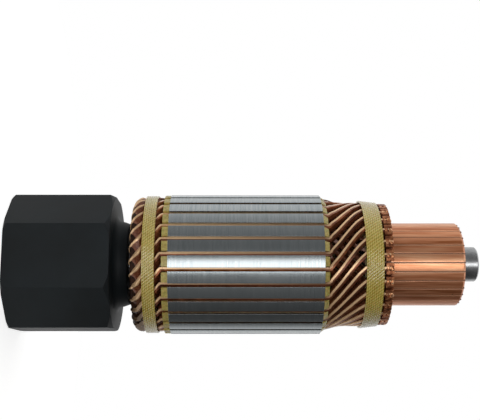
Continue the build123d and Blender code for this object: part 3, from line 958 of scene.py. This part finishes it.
class ARMATURE_OT_winding(bpy.types.Operator):
    """Make the copper strip coils"""

    bl_idname = "armature.winding"
    bl_label = "Winding"

    def execute(self, context):
        winding = context.scene.armature_winding
        copper = drawn_copper_strip(winding, "Section", "Tone")
        stations = smooth_stations(coil_stations(winding), STRIP_STEP)
        frames = [station_frame(stations, index) for index in range(len(stations))]
        first = model_coil(winding, frames, "hairpin")
        round_edges(first, winding.strip_edge, segments=3, degrees=50)
        smooth_edges(first, 40)
        map_section(first, frames, "Section", winding)
        dress(first, copper)
        chance = random.Random(11)
        for slot in range(SLOT_COUNT):
            coil = copy_about_axis(
                first, f"hairpin_{slot + 1:02d}", math.degrees(winding.first_slot) + slot * PITCH
            )
            tone = coil.data.uv_layers.new(name="Tone")
            tone.data.foreach_set("uv", [chance.random(), 0.0] * len(coil.data.loops))
            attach(coil, "root")
            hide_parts(f"coil_{slot + 1:02d}")
        bpy.data.objects.remove(first)
        return {"FINISHED"}


class ARMATURE_OT_bands(bpy.types.Operator):
    """Make the glass tape bands around the overhangs"""

    bl_idname = "armature.bands"
    bl_label = "Bands"

    def execute(self, context):
        settings = context.scene.armature_bands
        tape = glass_tape(settings, "Tape")
        for node, name in (
            ("drive_end_band", "drive_end_tape"),
            ("commutator_end_band", "commutator_end_tape"),
        ):
            corners = band_corners(node)
            low, high = node_bottom(node), node_top(node)
            threads = round((high - low) / settings.thread)
            band = ring_section(name, corners, settings.edge)
            raise_threads(band, corners, threads, settings.thread_height, settings.edge)
            spin_section(band, 8 * SLOT_COUNT)
            wrap_tape_map(band, "Tape", low, (high - low) / threads)
            smooth_edges(band, 60)
            dress(band, tape)
            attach(band, "root")
            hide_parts(node)
        return {"FINISHED"}


class ARMATURE_OT_resin(bpy.types.Operator):
    """Fill the noses with the varnish that they were dipped in, near black, partly as painted shade between
    the noses
    """

    bl_idname = "armature.resin"
    bl_label = "Resin"

    def execute(self, context):
        depth = context.scene.armature_bands.resin_depth
        winding = context.scene.armature_winding
        outer = winding.upper_radius - winding.strip_height / 2
        inner = outer - winding.strip_height - winding.layer_gap
        low, high = NOSE_TIP + depth, NOSE_TIP + 6 * depth
        unevenness = 0.3 * depth
        corners = ((inner, low), (outer, low), (outer, high), (inner, high))
        fill = ring_section("nose_resin", corners, depth)
        spin_section(fill, 4 * SLOT_COUNT)
        make_active(fill)
        edit_all()
        bpy.ops.transform.vertex_random(offset=unevenness, uniform=0.0, normal=1.0, seed=3)
        bpy.ops.object.mode_set(mode="OBJECT")
        smooth_edges(fill, 80)
        # The fill's near-black varnish is partly painted shade between the noses
        dress(fill, dried_varnish("baked_varnish", shine=0.1))
        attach(fill, "root")
        return {"FINISHED"}


class ARMATURE_OT_commutator(bpy.types.Operator):
    """Make the turned segments and the fused joints at their risers"""

    bl_idname = "armature.commutator"
    bl_label = "Commutator"

    def execute(self, context):
        settings = context.scene.armature_commutator
        winding = context.scene.armature_winding
        segments = refined_copy("commutator_segments", "turned_segments", settings.edge)
        dress(segments, turned_copper(settings, winding.first_slot))
        scaled = fused_copper("scaled_copper", ("#64341E", "#9A5C3A", "#CC8C60"), roughness=0.4)
        segments.data.materials.append(scaled)
        riser_foot = winding.end_radius - 2 * winding.strip_height
        for face in segments.data.polygons:
            if from_axis(face.center) > riser_foot and face.center.z < RISER_TOP + MM:
                face.material_index = 1
        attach(segments, "root")
        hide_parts("commutator_segments")
        self.fuse_risers(settings, winding)
        return {"FINISHED"}

    def fuse_risers(self, settings, winding):
        """Lay two rows of welds over the strip ends in the risers, as one piece."""
        chance = random.Random(7)
        crest = max(from_axis(vertex.co) for vertex in nodes["commutator_segments"].data.vertices)
        thickness = RISER_TOP - RISER_BOTTOM
        half_weld = 0.27 * thickness
        rows = (RISER_BOTTOM + half_weld, RISER_TOP - 0.2 * thickness)
        lumps = []
        for slot in range(SLOT_COUNT):
            for row, height in enumerate(rows):
                reach = settings.weld_height * chance.uniform(0.85, 1.15)
                across = 0.5 * settings.weld_length * chance.uniform(0.75, 1.0)
                along = half_weld * chance.uniform(0.85, 1.1)
                weld = model_weld(f"weld_{slot}_{row}", reach, across, along, 1 + slot * 2 + row)
                lean = Matrix.Rotation(chance.uniform(-0.15, 0.15), 4, "X")
                sunk = 0.75 * reach + 0.2 * MM
                sink = Matrix.Translation((crest - sunk, 0, height))
                offset = chance.uniform(-0.08, 0.08) * PITCH
                turn = winding.first_slot + math.radians(slot * PITCH + offset)
                weld.data.transform(Matrix.Rotation(turn, 4, "Z") @ sink @ lean)
                lumps.append(weld)
        deselect_all()
        for weld in lumps:
            weld.select_set(True)
        bpy.context.view_layer.objects.active = lumps[0]
        bpy.ops.object.join()
        welds = bpy.context.active_object
        welds.name = "riser_welds"
        dress(welds, fused_copper("fused_copper", ("#9C5838", "#D08C5E", "#FFD0A0"), roughness=0.28))
        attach(welds, "root")


class ARMATURE_OT_shaft(bpy.types.Operator):
    """Make the ground shaft"""

    bl_idname = "armature.shaft"
    bl_label = "Shaft"

    def execute(self, context):
        shaft = refined_copy("shaft", "ground_shaft", 0.15 * MM)
        dress(shaft, ground_steel())
        shaft.data.materials.append(dried_varnish("varnished_steel", shine=0.5))
        for face in shaft.data.polygons:
            if CAP_TOP < face.center.z < TRACK_TOP - MM:
                face.material_index = 1
        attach(shaft, "root")
        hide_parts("shaft")
        return {"FINISHED"}


class ARMATURE_OT_cap(bpy.types.Operator):
    """Make the moulded cap that covers the drive end"""

    bl_idname = "armature.cap"
    bl_label = "Cap"

    def execute(self, context):
        settings = context.scene.armature_cap
        cap = refined_copy("protective_cap", "moulded_cap", settings.edge, segments=4, bevel_angle=20)
        dress(cap, moulded_polyethylene(settings))
        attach(cap, "root")
        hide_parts("protective_cap")
        return {"FINISHED"}


def add_camera(scene, settings):
    """Camera at the photo's angle, with the commutator end of the shaft to the right."""
    eye = Vector((0, -settings.distance, (settings.eye_column - settings.foot_column) * settings.pixel))
    aim_across = (PIXEL_ROWS / 2 - settings.axis_row) * settings.pixel
    aim_height = eye.z + (PIXEL_COLUMNS / 2 - settings.eye_column) * settings.pixel
    ahead = (Vector((aim_across, 0, aim_height)) - eye).normalized()
    right = ahead.cross(Vector((-1, 0, 0))).normalized()
    up = right.cross(ahead)
    lens = bpy.data.cameras.new("camera")
    lens.sensor_width = 36
    lens.lens = lens.sensor_width * settings.distance / settings.pixel / PIXEL_COLUMNS
    lens.clip_start = 10 * MM
    camera = bpy.data.objects.new("camera", lens)
    camera.matrix_world = Matrix.Translation(eye) @ Matrix((right, up, -ahead)).transposed().to_4x4()
    scene.collection.objects.link(camera)
    scene.camera = camera


def add_softbox(scene, settings):
    """Upright softbox beside the camera that faces the shaft."""
    box = bpy.data.lights.new("softbox", "AREA")
    box.shape = "RECTANGLE"
    box.size = settings.box_width
    box.size_y = settings.box_length
    box.energy = settings.box_radiance * math.pi * box.size * box.size_y
    softbox = bpy.data.objects.new("softbox", box)
    back = Vector((math.sin(settings.box_turn), -math.cos(settings.box_turn), 0))
    upright = Vector((0, 0, 1))
    turn = Matrix((upright.cross(back), upright, back)).transposed().to_4x4()
    middle = (settings.eye_column - settings.foot_column) * settings.pixel
    softbox.matrix_world = Matrix.Translation(back * settings.box_distance + upright * middle) @ turn
    softbox.visible_camera = False
    scene.collection.objects.link(softbox)


class ARMATURE_OT_stage(bpy.types.Operator):
    """Set up the floor, the light and the camera"""

    bl_idname = "armature.stage"
    bl_label = "Stage"

    def execute(self, context):
        settings = context.scene.armature_stage
        context.scene.view_settings.view_transform = "Standard"
        deselect_all()
        bpy.ops.mesh.primitive_circle_add(
            vertices=64, radius=settings.floor_radius, fill_type="NGON", location=(0, 0, 0)
        )
        floor = context.active_object
        floor.name = "floor"
        dress(floor, studio_floor(settings))
        add_camera(context.scene, settings)
        add_softbox(context.scene, settings)
        context.scene.world = studio_surroundings()
        return {"FINISHED"}


class ARMATURE_PT_sidebar(bpy.types.Panel):
    """Lists the armature's settings and the steps that make it"""

    bl_label = "Armature"
    bl_idname = "ARMATURE_PT_sidebar"
    bl_space_type = "VIEW_3D"
    bl_region_type = "UI"
    bl_category = "Armature"

    def draw(self, context):
        for prefix, operator in STEPS:
            column = self.layout.column(align=True)
            column.operator(operator.bl_idname)
            if prefix:
                settings = getattr(context.scene, f"armature_{prefix}")
                for name in SETTINGS[prefix].__annotations__:
                    column.prop(settings, name)


SETTINGS = {
    "core": CoreSettings,
    "winding": WindingSettings,
    "bands": BandSettings,
    "commutator": CommutatorSettings,
    "cap": CapSettings,
    "stage": StageSettings,
}
STEPS = (
    ("core", ARMATURE_OT_core),
    (None, ARMATURE_OT_insulation),
    ("winding", ARMATURE_OT_winding),
    ("bands", ARMATURE_OT_bands),
    (None, ARMATURE_OT_resin),
    ("commutator", ARMATURE_OT_commutator),
    (None, ARMATURE_OT_shaft),
    ("cap", ARMATURE_OT_cap),
    ("stage", ARMATURE_OT_stage),
)


def register():
    for name, settings in SETTINGS.items():
        bpy.utils.register_class(settings)
        setattr(bpy.types.Scene, f"armature_{name}", bpy.props.PointerProperty(type=settings))
    for _, operator in STEPS:
        bpy.utils.register_class(operator)
    bpy.utils.register_class(ARMATURE_PT_sidebar)


def unregister():
    bpy.utils.unregister_class(ARMATURE_PT_sidebar)
    for _, operator in reversed(STEPS):
        bpy.utils.unregister_class(operator)
    for name, settings in reversed(SETTINGS.items()):
        delattr(bpy.types.Scene, f"armature_{name}")
        bpy.utils.unregister_class(settings)


def main():
    """Make every piece in order."""
    register()
    bpy.ops.armature.core()
    bpy.ops.armature.insulation()
    bpy.ops.armature.winding()
    bpy.ops.armature.bands()
    bpy.ops.armature.resin()
    bpy.ops.armature.commutator()
    bpy.ops.armature.shaft()
    bpy.ops.armature.cap()
    bpy.ops.armature.stage()


if __name__ == "__main__":
    main()
